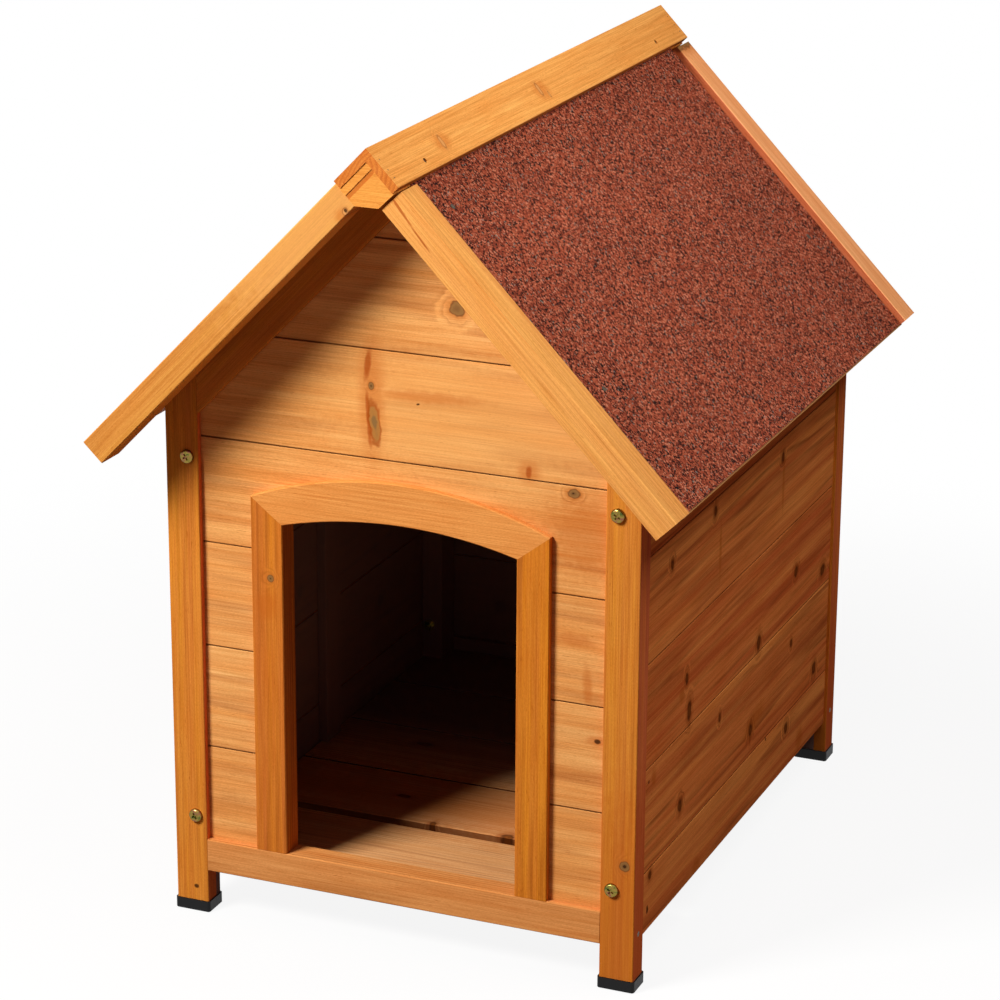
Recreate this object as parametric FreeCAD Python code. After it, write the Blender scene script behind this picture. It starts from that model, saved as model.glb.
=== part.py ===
import FreeCAD, Part

import math
import os

# A flat-pack wooden kennel: two framed gable ends bolted to two boarded sides, a slatted
# floor, and a steep roof of two felted panels under a two-board ridge cap.
#
# The house is modelled with X across the front, Y backwards from the front face of the
# front posts and Z up from the ground. Each finished piece is then moved back along Y, so
# that the origin lies under the middle of the whole kennel.
#
# Roof places are given as s, the distance down a slope from the line where the tops of
# the barge boards would meet, and n, the height above the tops of the barge boards.

# ---------------------------------------------------------------- driving sizes, mm

# Frame
house_width = 560.0        # over the posts, left to right
house_depth = 734.0        # over the posts, front to back
post_width = 40.0          # across the front
frame_depth = 30.0         # front to back: posts, rails, jambs, lintel and gable battens
timber_edge = 1.5          # rounding of the planed timber's long edges
post_height = 619.5        # outer edge of a post, up to the roof panel
ground_clearance = 52.0    # under the rails and the side boards
rail_height = 39.0
gable_batten_width = 42.0

# Doorway
door_width = 278.0
jamb_width = 38.0
door_shoulder = 393.5      # from the sill to the inner corner of the jamb's mitre
mitre_rise = 29.5          # from that corner to the outer one
arch_rise = 18.5           # the inner arch above its corners
lintel_rise = 36.0         # the outer arch above its corners
door_frame_edge = 1.0

# Matchboards
board_pitch = 123.0
board_thickness = 12.0
first_end_board = 113.5    # face of the lowest board on the front and rear
first_side_board = 73.0    # face of the lowest board on the sides
joint_gap = 1.0
tongue_thickness = 4.0
tongue_height = 5.0
tongue_play = 0.3
board_chamfer = 0.6
least_board = 35.0         # a narrower remainder is left on the board below it
end_recess = 8.0           # boards behind the front face of the posts
side_recess = 4.0          # boards behind the outer face of the posts
housing = 7.0              # how far a board runs into a groove
housing_play = 0.3

# Side panels and floor
corner_batten_width = 40.0
corner_batten_thickness = 28.0
middle_batten_width = 40.0
middle_batten_thickness = 12.0
side_top_gap = 3.0         # between the side boards and the roof
batten_top_drop = 20.0     # battens end below the side boards' top
floor_below_sill = 16.0    # top of the floor below the top of the rail
floor_thickness = 12.0
floor_board_count = 5
floor_gap = 3.0
floor_front_gap = 16.0     # behind the first slat
floor_play = 1.0
floor_side_play = 2.5
cleat_width = 20.0
bearer_width = 30.0
bearer_place = 130.0       # from the middle of the floor

# Roof
roof_pitch = 46.0          # degrees
roof_overhang = 71.0       # beyond the posts, front and back
eaves_overhang = 91.0      # down the slope, beyond the side
barge_width = 40.0         # front to back
barge_height = 31.0
deck_drop = 10.0           # top of the plywood below the top of the barge boards
deck_thickness = 5.0
deck_housing = 8.0
deck_beyond = 1.0          # plywood past the barge boards' lower ends
felt_thickness = 2.5
felt_short = 1.0           # felt short of the barge boards' lower ends
felt_gap = 1.5             # between the felt and a barge board
ridge_board_width = 50.0   # down the slope from the apex of the barge tops
ridge_board_thickness = 10.0
ridge_forward = 4.0        # the cap boards stand this far in front of the barge boards
ridge_edge = 1.0
block_beyond = 1.5         # the ridge block is wider than a cap board, down the slope
block_set_back = 1.0
block_groove = 5.0
block_groove_place = 9.0   # below the cap board
block_groove_depth = 0.8
barge_gaps = {"left": 0.5, "right": 3.0}   # between the ridge block and the barge boards

# Feet and fasteners
cap_height = 13.0
cap_wall = 1.8
cap_floor = 2.0
cap_bevel = 0.6            # round the underside
bolt_radius = 3.0
bolt_hole_play = 0.2
bolt_head_radius = 8.0
bolt_head_height = 4.2
bolt_head_round = 2.8
bolt_recess_width = 2.0
bolt_recess_span = 8.0
bolt_recess_depth = 2.2
bolt_recess_turn = 30.0    # degrees
bolt_inset = 26.5          # from the outer face of a post
lower_bolt_rise = 28.5     # above the rail
upper_bolt_drop = 69.5     # below the post's outer edge
washer_radius = 7.5
washer_thickness = 1.5
nut_across_flats = 10.0
nut_height = 5.0
bolt_tip = 2.5
screw_radius = 1.75
upper_screw_slope = 92.0
lower_screw_place = 22.0   # up the slope from the gable batten's lower end
roof_screw_head = 3.2
roof_screw_head_height = 1.4
roof_screw_length = 30.0
roof_screw_insets = {"front": 13.0, "rear": 20.0}   # from the posts' outer faces
ridge_screw_slope = 37.0
ridge_screw_head = 3.0
ridge_screw_sunk = 1.6
ridge_screw_length = 28.0
rail_screw_rise = 13.0     # above the rail's underside
rail_screw_head = 3.0
rail_screw_length = 62.0
nail_radius = 0.8
nail_length = 13.0
nail_slopes = (14.5, 28.0, 38.5)
nail_inset = 8.0           # from the end of the cap boards
hole_play = 0.05
same_place = 0.01          # two places nearer than this are one
along_axis = 0.99          # cosine above which an edge runs along an axis

# ---------------------------------------------------------------- sizes worked out

half_width = house_width / 2
inner_half = half_width - post_width
rail_top = ground_clearance + rail_height
floor_top = rail_top - floor_below_sill
floor_under = floor_top - floor_thickness
half_door = door_width / 2
half_frame = half_door + jamb_width
door_corner = rail_top + door_shoulder
frame_corner = door_corner + mitre_rise

pitch = math.radians(roof_pitch)
deck_top = -deck_drop
deck_under = deck_top - deck_thickness
felt_top = deck_top + felt_thickness
cap_under = felt_top
cap_top = cap_under + ridge_board_thickness
batten_under = deck_under - gable_batten_width
block_width = ridge_board_width + block_beyond

# Height where the tops of the barge boards would meet, and their length from there
roof_apex = post_height + (half_width * math.sin(pitch) - deck_under) / math.cos(pitch)
slope_length = half_width / math.cos(pitch) + eaves_overhang

bolt_heights = (rail_top + lower_bolt_rise, post_height - upper_bolt_drop)
batten_end_slope = (inner_half - deck_under * math.sin(pitch)) / math.cos(pitch)
roof_screw_slopes = (upper_screw_slope, batten_end_slope - lower_screw_place)
roof_front = -roof_overhang
roof_rear = house_depth + roof_overhang
cap_front = roof_front - ridge_forward
middle_of_kennel = (cap_front + roof_rear) / 2

side_outer = half_width - side_recess
side_inner = side_outer - board_thickness
side_top = roof_apex + (deck_under - side_outer * math.sin(pitch)) / math.cos(pitch) - side_top_gap
batten_top = side_top - batten_top_drop
bolt_length = frame_depth + corner_batten_width + washer_thickness + nut_height + bolt_tip
far = 2 * (house_width + house_depth)      # longer than any piece, for cutting


# ---------------------------------------------------------------- helpers

def vector(x, y, z):
    return FreeCAD.Vector(x, y, z)


AXIS = {"x": vector(1, 0, 0), "y": vector(0, 1, 0), "z": vector(0, 0, 1)}


def block(low, high):
    """A box from its low corner to its high corner."""
    sizes = [b - a for a, b in zip(low, high)]
    return Part.makeBox(*sizes, vector(*low))


def edges_along(solid, axis):
    """The edges that run along an axis."""
    return [e for e in solid.Edges if abs(e.tangentAt(e.FirstParameter).dot(AXIS[axis])) > along_axis]


def bar(low, high, along, edge):
    """A length of planed timber: a box with its long edges rounded."""
    solid = block(low, high)
    return solid.makeFillet(edge, edges_along(solid, along))


def prism(outline, front, rear):
    """A flat outline of (x, z) points, given its thickness from front to rear."""
    points = [vector(x, front, z) for x, z in outline]
    face = Part.Face(Part.makePolygon(points + points[:1]))
    return face.extrude(vector(0, rear - front, 0))


def cylinder(start, direction, radius, length):
    return Part.makeCylinder(radius, length, start, direction)


def slope_height(x, n):
    """Height of the roof plane n at a distance x from the middle."""
    return roof_apex + (n - abs(x) * math.sin(pitch)) / math.cos(pitch)


def slope_point(s, n):
    """(x, z) of a place on the right-hand slope."""
    x = s * math.cos(pitch) + n * math.sin(pitch)
    z = roof_apex - s * math.sin(pitch) + n * math.cos(pitch)
    return x, z


def meeting_point(n_left, n_right):
    """(x, z) where plane n_left of the left slope meets plane n_right of the right one."""
    x = (n_right - n_left) / (2 * math.sin(pitch))
    z = roof_apex + (n_right + n_left) / (2 * math.cos(pitch))
    return x, z


def on_slope(side, solid):
    """Take a solid drawn with X as s and Z as n to its slope of the roof."""
    placed = solid.copy()
    placed.rotate(vector(0, 0, 0), AXIS["y"], roof_pitch)
    placed.translate(vector(0, 0, roof_apex))
    return on_side(side, placed)


def on_side(side, solid):
    """The solid itself on the right, its mirror image on the left."""
    return solid if side == "right" else solid.mirror(vector(0, 0, 0), AXIS["x"])


def at_end(end, solid):
    """The solid itself at the front, its mirror image at the rear."""
    return solid if end == "front" else solid.mirror(vector(0, house_depth / 2, 0), AXIS["y"])


def under_roof(n):
    """Everything below the roof planes n."""
    outline = [
        (-far, -far),
        (far, -far),
        (far, slope_height(far, n)),
        (0, slope_height(0, n)),
        (-far, slope_height(far, n)),
    ]
    return prism(outline, -far, far)


def arc_wire_edge(half_chord, height, rise, front, to_right):
    """An arch from corner to corner, standing rise above its corners."""
    left = vector(-half_chord, front, height)
    right = vector(half_chord, front, height)
    top = vector(0, front, height + rise)
    ends = (left, right) if to_right else (right, left)
    return Part.Arc(ends[0], top, ends[1]).toShape()


def line_edge(a, b):
    return Part.LineSegment(a, b).toShape()


SIDES = ("left", "right")
ENDS = ("front", "rear")
UNDER_DECK = under_roof(deck_under)


# ---------------------------------------------------------------- framed gable ends

def panel_outline(margin):
    """The boarded field of a gable end, margin wider all round than what shows."""
    x = inner_half + margin
    top = batten_under + margin
    return [
        (-x, rail_top - margin),
        (x, rail_top - margin),
        (x, slope_height(x, top)),
        (0, slope_height(0, top)),
        (-x, slope_height(x, top)),
    ]


def door_hole(margin):
    """The door frame's outside, margin smaller all round."""
    radius = (half_frame ** 2 + lintel_rise ** 2) / (2 * lintel_rise)
    centre = vector(0, -far, frame_corner + lintel_rise - radius)
    round_top = cylinder(centre, AXIS["y"], radius - margin, 2 * far)
    x = half_frame - margin
    return round_top.common(block((-x, -far, 0), (x, far, far)))


def panel_field(end, margin, play):
    """The space that an end's boards take: the grooves are cut with it, and the boards."""
    field = prism(panel_outline(margin), end_recess - play, end_recess + board_thickness + play)
    if end == "front":
        field = field.cut(door_hole(margin))
    return field


def end_groove(end):
    return panel_field(end, housing + housing_play, housing_play)


def bolt_axes():
    """(x, z) of the bolts through the right-hand post."""
    return [(half_width - bolt_inset, z) for z in bolt_heights]


def bolt_holes(depth):
    radius = bolt_radius + bolt_hole_play
    holes = [cylinder(vector(x, 0, z), AXIS["y"], radius, depth) for x, z in bolt_axes()]
    return holes[0].multiFuse(holes[1:])


def rail_screw_start():
    """Where the screw through the right-hand post into the rail starts."""
    return vector(half_width, frame_depth / 2, ground_clearance + rail_screw_rise)


def screw_hole(start, direction, head_radius, head_height, length):
    """A screw's pilot hole with room for its countersunk head."""
    shank = cylinder(start, direction, screw_radius + hole_play, length + hole_play)
    head = Part.makeCone(head_radius + hole_play, screw_radius + hole_play, head_height, start, direction)
    return shank.fuse(head)


def rail_screw_hole():
    return screw_hole(rail_screw_start(), -AXIS["x"], rail_screw_head, rail_screw_head, rail_screw_length)


def post(end, side):
    solid = bar(
        (inner_half, 0, cap_floor),
        (half_width, frame_depth, roof_apex),
        "z",
        timber_edge,
    )
    solid = solid.common(UNDER_DECK)
    solid = solid.cut(bolt_holes(frame_depth))
    solid = solid.cut(rail_screw_hole())
    solid = solid.cut(end_groove(end))
    return at_end(end, on_side(side, solid))


def rail(end):
    solid = bar(
        (-inner_half, 0, ground_clearance),
        (inner_half, frame_depth, rail_top),
        "x",
        timber_edge,
    )
    for side in SIDES:
        solid = solid.cut(on_side(side, rail_screw_hole()))
    return at_end(end, solid.cut(end_groove(end)))


def gable_batten(end, side):
    """A sloping batten under the roof, from the post to the middle of the gable."""
    solid = bar(
        (-slope_length, 0, batten_under),
        (slope_length, frame_depth, deck_under),
        "x",
        timber_edge,
    )
    solid = on_slope("right", solid)
    solid = solid.common(block((0, -far, 0), (inner_half, far, far)))
    solid = at_end(end, solid.cut(end_groove(end)))
    return on_side(side, solid.cut(roof_screw_holes("right")[end]))


def jamb(side):
    outline = [
        (half_door, rail_top),
        (half_frame, rail_top),
        (half_frame, frame_corner),
        (half_door, door_corner),
    ]
    solid = prism(outline, 0, frame_depth)
    solid = solid.makeChamfer(door_frame_edge, edges_along(solid, "z"))
    return on_side(side, solid.cut(end_groove("front")))


def door_lintel():
    """The arched head of the doorway, mitred to the jambs."""
    inner = arc_wire_edge(half_door, door_corner, arch_rise, 0, True)
    outer = arc_wire_edge(half_frame, frame_corner, lintel_rise, 0, False)
    inner_right = vector(half_door, 0, door_corner)
    outer_right = vector(half_frame, 0, frame_corner)
    inner_left = vector(-half_door, 0, door_corner)
    outer_left = vector(-half_frame, 0, frame_corner)
    wire = Part.Wire([
        inner,
        line_edge(inner_right, outer_right),
        outer,
        line_edge(outer_left, inner_left),
    ])
    solid = Part.Face(wire).extrude(vector(0, frame_depth, 0))
    arches = [e for e in solid.Edges if isinstance(e.Curve, Part.Circle)]
    solid = solid.makeChamfer(door_frame_edge, arches)
    return solid.cut(end_groove("front"))


# ---------------------------------------------------------------- matchboards

def board_section(bottom, top, has_groove, has_tongue):
    """A matchboard's section as (depth, z) points: depth 0 is the outer face."""
    t = board_thickness
    c = board_chamfer
    face_top = top - joint_gap if has_tongue else top
    points = [(0, bottom + c), (c, bottom)]
    if has_groove:
        near = (t - tongue_thickness) / 2 - tongue_play
        deep = bottom + tongue_height - joint_gap + tongue_play
        points += [(near, bottom), (near, deep), (t - near, deep), (t - near, bottom)]
    points += [(t - c, bottom), (t, bottom + c), (t, face_top - c), (t - c, face_top)]
    if has_tongue:
        near = (t - tongue_thickness) / 2
        tip = face_top + tongue_height
        points += [(t - near, face_top), (t - near, tip), (near, tip), (near, face_top)]
    points += [(c, face_top), (0, face_top - c)]
    return points


def board_rows(bottom, first_face, top):
    """(bottom, top, has_groove, has_tongue) of each board of a wall, from the ground up."""
    joints = [bottom + first_face]
    while joints[-1] + board_pitch < top - least_board:
        joints.append(joints[-1] + board_pitch)
    lows = [bottom] + joints
    highs = joints + [top]
    last = len(lows) - 1
    return [(a, b, i > 0, i < last) for i, (a, b) in enumerate(zip(lows, highs))]


def end_board(row):
    """One board of a gable end, before it is cut to the panel's outline."""
    x = inner_half + housing
    points = [vector(-x, end_recess + d, z) for d, z in board_section(*row)]
    face = Part.Face(Part.makePolygon(points + points[:1]))
    return face.extrude(vector(2 * x, 0, 0))


def end_boards(end):
    """All boards of a gable end, each as a list of its pieces."""
    peak = slope_height(0, batten_under + housing)
    rows = board_rows(rail_top, first_end_board, peak)
    rows[0] = (rail_top - housing,) + rows[0][1:]
    field = panel_field(end, housing, 0)
    return [[at_end(end, s) for s in end_board(row).common(field).Solids] for row in rows]


def side_boards(side):
    start = frame_depth + housing_play
    length = house_depth - 2 * start
    boards = []
    for row in board_rows(ground_clearance, first_side_board, side_top):
        points = [vector(side_outer - d, start, z) for d, z in board_section(*row)]
        face = Part.Face(Part.makePolygon(points + points[:1]))
        boards.append(on_side(side, face.extrude(vector(0, length, 0))))
    return boards


# ---------------------------------------------------------------- side battens and floor

def corner_batten(end, side):
    """The side panel's upright that takes the bolts, standing behind the post."""
    solid = bar(
        (side_inner - corner_batten_thickness, frame_depth, ground_clearance),
        (side_inner, frame_depth + corner_batten_width, batten_top),
        "z",
        timber_edge,
    )
    return at_end(end, on_side(side, solid.cut(bolt_holes(bolt_length))))


def middle_batten(side):
    centre = house_depth / 2
    solid = bar(
        (side_inner - middle_batten_thickness, centre - middle_batten_width / 2, floor_top + floor_play),
        (side_inner, centre + middle_batten_width / 2, batten_top),
        "z",
        timber_edge,
    )
    return on_side(side, solid)


def floor_boards():
    """Slats from side to side, the end ones cut out round the corner battens."""
    start = frame_depth + floor_play
    stop = house_depth - start
    x = side_inner - floor_side_play
    pitch_y = (stop - start + floor_gap) / floor_board_count
    notch_x = side_inner - corner_batten_thickness - floor_play
    notch_y = frame_depth + corner_batten_width + floor_play
    boards = []
    for i in range(floor_board_count):
        front = start + i * pitch_y
        rear = front + pitch_y - floor_gap
        # The first gap is the wide one that shows inside the doorway.
        if i == 0:
            rear -= (floor_front_gap - floor_gap) / 2
        if i == 1:
            front += (floor_front_gap - floor_gap) / 2
        board = bar(
            (-x, front, floor_under),
            (x, rear, floor_top),
            "x",
            timber_edge,
        )
        for side in SIDES:
            for end in ENDS:
                corner = block((notch_x, -far, 0), (far, notch_y, far))
                board = board.cut(at_end(end, on_side(side, corner)))
        boards.append(board)
    return boards


def floor_cleat(side):
    """The ledge on the side panel that carries the floor boards' ends."""
    start = frame_depth + corner_batten_width + floor_play
    solid = bar(
        (side_inner - cleat_width, start, ground_clearance),
        (side_inner, house_depth - start, floor_under),
        "y",
        timber_edge,
    )
    return on_side(side, solid)


def floor_bearer(side):
    """One of the two battens under the floor that tie its boards into one panel."""
    start = frame_depth + floor_play
    low = (bearer_place - bearer_width / 2, start, ground_clearance)
    high = (bearer_place + bearer_width / 2, house_depth - start, floor_under)
    return on_side(side, bar(low, high, "y", timber_edge))


# ---------------------------------------------------------------- roof

def screw_y(end):
    return roof_screw_insets["front"] if end == "front" else house_depth - roof_screw_insets["rear"]


def slope_screw(s, y, top, head_radius, head_height, length):
    """A screw square to the slope, drawn with X as s and Z as n; its head's top is at n = top."""
    start = vector(s, y, top)
    head = Part.makeCone(head_radius, screw_radius, head_height, start, -AXIS["z"])
    return head.fuse(cylinder(start, -AXIS["z"], screw_radius, length))


def roof_screw(s, y):
    return slope_screw(s, y, felt_top + roof_screw_head_height / 2, roof_screw_head,
                       roof_screw_head_height, roof_screw_length)


def ridge_screw(y):
    return slope_screw(ridge_screw_slope, y, cap_top - ridge_screw_sunk, ridge_screw_head,
                       ridge_screw_head, ridge_screw_length)


def roof_screw_holes(side):
    """Each end's holes for all screws through a slope."""
    holes = {}
    for end in ENDS:
        y = screw_y(end)
        start = vector(ridge_screw_slope, y, cap_top - ridge_screw_sunk)
        tools = [
            screw_hole(start, -AXIS["z"], ridge_screw_head, ridge_screw_head, ridge_screw_length),
            cylinder(start, AXIS["z"], ridge_screw_head + hole_play, 2 * ridge_screw_sunk),
        ]
        for s in roof_screw_slopes:
            start = vector(s, y, felt_top + roof_screw_head_height / 2)
            tools.append(screw_hole(
                start, -AXIS["z"], roof_screw_head, roof_screw_head_height, roof_screw_length
            ))
        holes[end] = on_slope(side, tools[0].multiFuse(tools[1:]))
    return holes


def cut_roof_screws(side, solid):
    for hole in roof_screw_holes(side).values():
        solid = solid.cut(hole)
    return solid


def barge_start(side):
    return block_width + barge_gaps[side]


def deck_space(play):
    """The plywood panel, grown by play, drawn with X as s and Z as n."""
    inside = roof_overhang - barge_width + deck_housing
    low = (-slope_length, -inside - play, deck_under - play)
    high = (slope_length + deck_beyond, house_depth + inside + play, deck_top + play)
    return block(low, high)


def right_half(solid):
    return solid.common(block((0, -far, -far), (far, far, far)))


def roof_deck(side):
    """The plywood of one slope, held in the barge boards' grooves, its end corners cut square."""
    solid = deck_space(0)
    inside = roof_overhang - barge_width - housing_play
    for end in ENDS:
        corner = block((-far, -far, -far), (barge_start("right") + housing_play, -inside, far))
        solid = solid.cut(at_end(end, corner))
    solid = right_half(on_slope("right", solid))
    return on_side(side, cut_roof_screws("right", solid))


def roof_felt(side):
    margin = roof_overhang - barge_width - felt_gap
    solid = block(
        (-slope_length, -margin, deck_top),
        (slope_length - felt_short, house_depth + margin, felt_top),
    )
    solid = right_half(on_slope("right", solid))
    return on_side(side, cut_roof_screws("right", solid))


def barge_board(end, side):
    solid = bar(
        (barge_start(side), roof_front, -barge_height),
        (slope_length, roof_front + barge_width, 0),
        "x",
        timber_edge,
    )
    return at_end(end, on_slope(side, solid.cut(deck_space(housing_play))))


def cap_nails():
    """(s, y) of the brads that hold a cap board to the ridge blocks."""
    ys = (cap_front + nail_inset, roof_rear - nail_inset)
    return [(s, y) for s in nail_slopes for y in ys]


def cap_nail(s, y):
    return cylinder(vector(s, y, cap_top), -AXIS["z"], nail_radius, nail_length)


def cap_nail_holes(side):
    radius = nail_radius + hole_play
    length = nail_length + hole_play
    holes = [cylinder(vector(s, y, cap_top), -AXIS["z"], radius, length) for s, y in cap_nails()]
    return on_slope(side, holes[0].multiFuse(holes[1:]))


def ridge_board(side):
    """A cap board: the left one runs over the edge of the right one."""
    if side == "left":
        left_foot = slope_point(ridge_board_width, cap_top)
        left_heel = slope_point(ridge_board_width, cap_under)
        outline = [
            (-left_foot[0], left_foot[1]),
            meeting_point(cap_top, cap_top),
            meeting_point(cap_under, cap_top),
            (-left_heel[0], left_heel[1]),
        ]
    else:
        outline = [
            meeting_point(cap_under, cap_top),
            slope_point(ridge_board_width, cap_top),
            slope_point(ridge_board_width, cap_under),
            meeting_point(cap_under, cap_under),
        ]
    solid = prism(outline, cap_front, roof_rear)
    corner = slope_point(ridge_board_width, cap_top)
    corner_x = corner[0] if side == "right" else -corner[0]
    eased = [e for e in edges_along(solid, "y") if abs(e.CenterOfMass.x - corner_x) < same_place]
    solid = solid.makeFillet(ridge_edge, eased)
    return cut_roof_screws(side, solid).cut(cap_nail_holes(side))


def ridge_block(end):
    """The five-sided block between the barge boards' upper ends, grooved across its face."""
    top_right = slope_point(block_width, cap_under)
    low_right = slope_point(block_width, -barge_height)
    outline = [
        meeting_point(cap_under, cap_under),
        top_right,
        low_right,
        (-low_right[0], low_right[1]),
        (-top_right[0], top_right[1]),
    ]
    front = cap_front + block_set_back if end == "front" else roof_front + block_set_back
    solid = prism(outline, front, roof_front + barge_width)
    groove_top = cap_under - block_groove_place
    groove = block((-far, -far, groove_top - block_groove), (far, front + block_groove_depth, groove_top))
    solid = solid.cut(on_slope("left", groove))
    solid = at_end(end, solid)
    for side in SIDES:
        solid = solid.cut(cap_nail_holes(side))
    return solid


# ---------------------------------------------------------------- feet and fasteners

def foot_cap(end, side):
    """A moulded cup pressed on to the foot of a post."""
    outer = bar(
        (inner_half - cap_wall, -cap_wall, 0),
        (half_width + cap_wall, frame_depth + cap_wall, cap_height),
        "z",
        timber_edge + cap_wall,
    )
    under = [e for e in outer.Edges if abs(e.CenterOfMass.z) < same_place]
    outer = outer.makeChamfer(cap_bevel, under)
    inner = bar(
        (inner_half, 0, cap_floor),
        (half_width, frame_depth, 2 * cap_height),
        "z",
        timber_edge,
    )
    return at_end(end, on_side(side, outer.cut(inner)))


def bolt(x, z):
    """A cross-recessed pan-head bolt, drawn from the front."""
    head = cylinder(vector(0, 0, 0), -AXIS["y"], bolt_head_radius, bolt_head_height)
    rim = [e for e in head.Edges if abs(e.CenterOfMass.y + bolt_head_height) < same_place]
    head = head.makeFillet(bolt_head_round, rim)
    long, wide = bolt_recess_span / 2, bolt_recess_width / 2
    for x_reach, z_reach in ((long, wide), (wide, long)):
        slot = block(
            (-x_reach, -bolt_head_height, -z_reach),
            (x_reach, bolt_recess_depth - bolt_head_height, z_reach),
        )
        slot.rotate(vector(0, 0, 0), AXIS["y"], bolt_recess_turn)
        head = head.cut(slot)
    solid = head.fuse(cylinder(vector(0, 0, 0), AXIS["y"], bolt_radius, bolt_length))
    solid.translate(vector(x, 0, z))
    return solid


def washer(x, z):
    start = vector(x, frame_depth + corner_batten_width, z)
    ring = cylinder(start, AXIS["y"], washer_radius, washer_thickness)
    return ring.cut(cylinder(start, AXIS["y"], bolt_radius + hole_play, washer_thickness))


def nut(x, z):
    y = frame_depth + corner_batten_width + washer_thickness
    corner = nut_across_flats / math.sqrt(3)
    points = []
    for i in range(6):
        angle = math.radians(60 * i)
        points.append(vector(x + corner * math.cos(angle), y, z + corner * math.sin(angle)))
    body = Part.Face(Part.makePolygon(points + points[:1])).extrude(vector(0, nut_height, 0))
    return body.cut(cylinder(vector(x, y, z), AXIS["y"], bolt_radius + hole_play, nut_height))


def at_bolts(piece, ends):
    """A piece at every bolt of the ends named."""
    return [
        at_end(end, on_side(side, piece(x, z)))
        for end in ends
        for side in SIDES
        for x, z in bolt_axes()
    ]


def rail_screw():
    """A countersunk screw from the post's outer face into the end of the rail."""
    head = Part.makeCone(rail_screw_head, screw_radius, rail_screw_head, rail_screw_start(), -AXIS["x"])
    return head.fuse(cylinder(rail_screw_start(), -AXIS["x"], screw_radius, rail_screw_length))


# ---------------------------------------------------------------- the kennel

def sub_parts():
    """Every node's name with its solids."""
    nodes = {}
    for end in ENDS:
        nodes[f"rail_{end}"] = [rail(end)]
        nodes[f"ridge_block_{end}"] = [ridge_block(end)]
        for side in SIDES:
            nodes[f"post_{end}_{side}"] = [post(end, side)]
            nodes[f"gable_batten_{end}_{side}"] = [gable_batten(end, side)]
            nodes[f"corner_batten_{end}_{side}"] = [corner_batten(end, side)]
            nodes[f"barge_board_{end}_{side}"] = [barge_board(end, side)]
            nodes[f"foot_cap_{end}_{side}"] = [foot_cap(end, side)]
    for side in SIDES:
        nodes[f"door_jamb_{side}"] = [jamb(side)]
        nodes[f"side_boards_{side}"] = side_boards(side)
        nodes[f"middle_batten_{side}"] = [middle_batten(side)]
        nodes[f"floor_cleat_{side}"] = [floor_cleat(side)]
        nodes[f"floor_bearer_{side}"] = [floor_bearer(side)]
        nodes[f"roof_deck_{side}"] = [roof_deck(side)]
        nodes[f"roof_felt_{side}"] = [roof_felt(side)]
        nodes[f"ridge_board_{side}"] = [ridge_board(side)]
    nodes["door_lintel"] = [door_lintel()]

    front = end_boards("front")
    beside = [pieces for pieces in front if len(pieces) == 2]
    over = [pieces[0] for pieces in front if len(pieces) == 1]
    nodes["front_boards_left"] = [min(pair, key=lambda s: s.CenterOfMass.x) for pair in beside]
    nodes["front_boards_right"] = [max(pair, key=lambda s: s.CenterOfMass.x) for pair in beside]
    nodes["front_board_over_door"] = over[:1]
    nodes["front_gable_boards"] = over[1:]
    rear = [pieces[0] for pieces in end_boards("rear")]
    nodes["rear_boards"] = rear[:len(beside) + 1]
    nodes["rear_gable_boards"] = rear[len(beside) + 1:]

    nodes["floor_boards"] = floor_boards()
    nodes["bolts_front"] = at_bolts(bolt, ["front"])
    nodes["bolts_rear"] = at_bolts(bolt, ["rear"])
    nodes["bolt_washers"] = at_bolts(washer, ENDS)
    nodes["bolt_nuts"] = at_bolts(nut, ENDS)
    nodes["rail_screws"] = [at_end(end, on_side(side, rail_screw())) for end in ENDS for side in SIDES]
    nodes["roof_screws"] = [
        on_slope(side, roof_screw(s, screw_y(end)))
        for side in SIDES
        for s in roof_screw_slopes
        for end in ENDS
    ]
    nodes["ridge_screws"] = [on_slope(side, ridge_screw(screw_y(end))) for side in SIDES for end in ENDS]
    nodes["ridge_nails"] = [on_slope(side, cap_nail(s, y)) for side in SIDES for s, y in cap_nails()]
    return nodes


def save(name, solids):
    """Move a node's solids under the origin and write them."""
    shape = solids[0] if len(solids) == 1 else Part.makeCompound(solids)
    shape = shape.copy()
    shape.translate(vector(0, -middle_of_kennel, 0))
    shape.exportStep(f"parts/{name}.step")
    box = shape.BoundBox
    print(f"{name:28s} solids {len(shape.Solids):2d}  valid {shape.isValid()}  "
          f"x {box.XMin:7.1f} {box.XMax:7.1f}  y {box.YMin:7.1f} {box.YMax:7.1f}  "
          f"z {box.ZMin:6.1f} {box.ZMax:6.1f}")


os.makedirs("parts", exist_ok=True)
for node_name, node_solids in sub_parts().items():
    save(node_name, node_solids)
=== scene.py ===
# %% [markdown]
# # A wooden dog house with a felted roof
#
# This lesson dresses a kennel whose construction already exists as separate solids: posts, rails,
# matchboards, barge boards, felt and bolts. Nothing is moved here. What is added is the look: stained
# softwood whose grain follows each piece of timber, knots where this kennel has them, mineral felt, black
# plastic feet and yellow-zinc bolts, then a camera and studio light.

# %% Open the frame
import math

import bmesh
import bpy
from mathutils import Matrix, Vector

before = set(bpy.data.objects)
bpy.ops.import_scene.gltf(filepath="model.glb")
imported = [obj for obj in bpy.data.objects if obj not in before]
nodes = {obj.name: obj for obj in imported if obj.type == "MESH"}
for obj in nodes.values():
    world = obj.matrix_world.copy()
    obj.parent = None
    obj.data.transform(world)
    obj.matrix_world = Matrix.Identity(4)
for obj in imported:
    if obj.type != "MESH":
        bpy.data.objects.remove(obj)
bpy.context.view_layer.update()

print("pieces of the frame:", len(nodes))

# %% [markdown]
# ## Colours and sizes
#
# Colours are written as the sRGB hex values that a picture editor shows. A renderer works with linear light,
# so one function turns them over. Sizes are written in millimetres, as a joiner would, and turned to metres
# only where a mesh needs them.

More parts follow.
